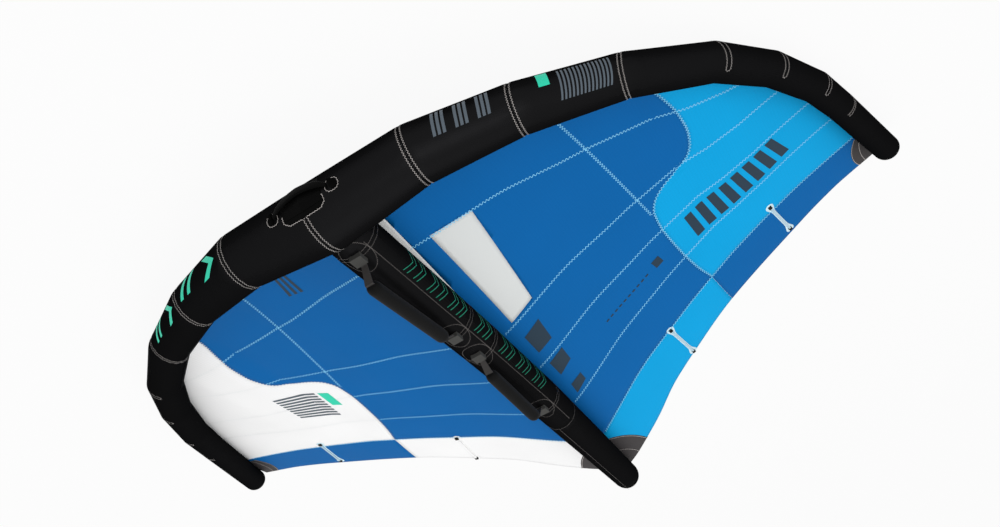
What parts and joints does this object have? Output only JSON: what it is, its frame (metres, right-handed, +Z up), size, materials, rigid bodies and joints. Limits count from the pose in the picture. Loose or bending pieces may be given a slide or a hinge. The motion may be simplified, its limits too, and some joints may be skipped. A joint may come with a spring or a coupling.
{
  "type": "wingfoil wing",
  "caption": "Hand-held inflatable wing for wing foiling: curved leading edge tube, centre strut, cloth canopy, padded handles on the strut and a strap on the front.",
  "frame": {"origin": "centre of the footprint on the ground, under the middle of the wing as it lies on its back", "axes": "+Z up, +Y from the leading edge to the trailing edge, +X to the side of the white tip panel; the strut and its handles face up"},
  "size_m": [2.7676, 1.9426, 0.6111],
  "materials": {
    "leading_edge_fabric": "matte",
    "strut_fabric": "satin",
    "bladder_film": "gloss",
    "blue_cloth": "satin",
    "light_blue_cloth": "satin",
    "white_cloth": "satin",
    "window_film": "gloss",
    "white_webbing": "matte",
    "black_plastic": "satin",
    "grey_patch": "matte",
    "grey_webbing": "matte",
    "black_foam": "matte",
    "grey_rubber": "satin"
  },
  "bodies": {
    "wing": {"leading_edge_centre_right": "leading_edge_fabric", "leading_edge_inner_right": "leading_edge_fabric", "leading_edge_middle_right": "leading_edge_fabric", "leading_edge_outer_right": "leading_edge_fabric", "leading_edge_tip_cap_right": "leading_edge_fabric", "canopy_main_right": "blue_cloth", "trailing_strip_outer_right": "blue_cloth", "canopy_tip_right": "white_cloth", "trailing_strip_inner_right": "white_cloth", "batten_sleeve_inner_right": "white_webbing", "batten_sleeve_outer_right": "white_webbing", "batten_inner_right": "black_plastic", "batten_outer_right": "black_plastic", "tip_patch_right": "grey_patch", "tail_patch_right": "grey_patch", "leading_edge_handle_tab_right": "grey_webbing", "leading_edge_centre_left": "leading_edge_fabric", "leading_edge_inner_left": "leading_edge_fabric", "leading_edge_middle_left": "leading_edge_fabric", "leading_edge_outer_left": "leading_edge_fabric", "leading_edge_tip_cap_left": "leading_edge_fabric", "canopy_main_left": "blue_cloth", "trailing_strip_outer_left": "blue_cloth", "canopy_tip_left": "light_blue_cloth", "trailing_strip_inner_left": "light_blue_cloth", "batten_sleeve_inner_left": "white_webbing", "batten_sleeve_outer_left": "white_webbing", "batten_inner_left": "black_plastic", "batten_outer_left": "black_plastic", "tip_patch_left": "grey_patch", "tail_patch_left": "grey_patch", "leading_edge_handle_tab_left": "grey_webbing", "window_wide_left": "window_film", "window_narrow_left": "window_film", "leading_edge_bladder": "bladder_film", "strut_bladder": "bladder_film", "strut_panel_1": "strut_fabric", "strut_panel_2": "strut_fabric", "strut_panel_3": "strut_fabric", "strut_panel_4": "strut_fabric", "strut_panel_5": "strut_fabric", "strut_end_cap": "strut_fabric", "front_handle_anchor_front": "grey_webbing", "front_handle_anchor_rear": "grey_webbing", "rear_handle_anchor_front": "grey_webbing", "rear_handle_anchor_rear": "grey_webbing", "leading_edge_handle_pad": "black_foam", "valve_base": "grey_rubber", "air_hose": "black_plastic", "hose_clip_body": "black_plastic"},
    "front_handle": {"front_handle_webbing": "grey_webbing", "front_handle_grip": "black_foam"},
    "rear_handle": {"rear_handle_webbing": "grey_webbing", "rear_handle_grip": "black_foam"},
    "leading_edge_handle": {"leading_edge_handle_strap": "black_foam"},
    "valve_cap": {"valve_cap": "grey_rubber"},
    "valve_plunger": {"valve_plunger": "white_webbing"},
    "hose_clip_lever": {"hose_clip_lever": "grey_rubber"}
  },
  "joints": [
    {"name": "front_handle_swing", "type": "hinge", "parent": "wing", "child": "front_handle", "pos_m": [0, -0.74328, 0.31285], "axis": [0, 0.9879, 0.1552], "range_deg": [-70, 70]},
    {"name": "rear_handle_swing", "type": "hinge", "parent": "wing", "child": "rear_handle", "pos_m": [0, -0.18891, 0.40008], "axis": [0, 0.9853, 0.1711], "range_deg": [-70, 70]},
    {"name": "leading_edge_handle_swing", "type": "hinge", "parent": "wing", "child": "leading_edge_handle", "pos_m": [0, -0.95734, 0.23718], "axis": [1, 0, 0], "range_deg": [-70, 0]},
    {"name": "valve_cap_flip", "type": "hinge", "parent": "wing", "child": "valve_cap", "pos_m": [0.1609, -0.7692, 0.23002], "axis": [0.9839, 0.0976, -0.1498], "range_deg": [0, 120]},
    {"name": "valve_plunger_press", "type": "slide", "parent": "wing", "child": "valve_plunger", "axis": [0.11, -0.991, 0.0767], "range_m": [0, 0.003], "stiffness_N_per_m": 400, "springref_m": -0.002},
    {"name": "hose_clip_open", "type": "hinge", "parent": "wing", "child": "hose_clip_lever", "pos_m": [0.09741, -0.74205, 0.2127], "axis": [0.7071, 0.6954, 0.1283], "range_deg": [0, 95]}
  ]
}
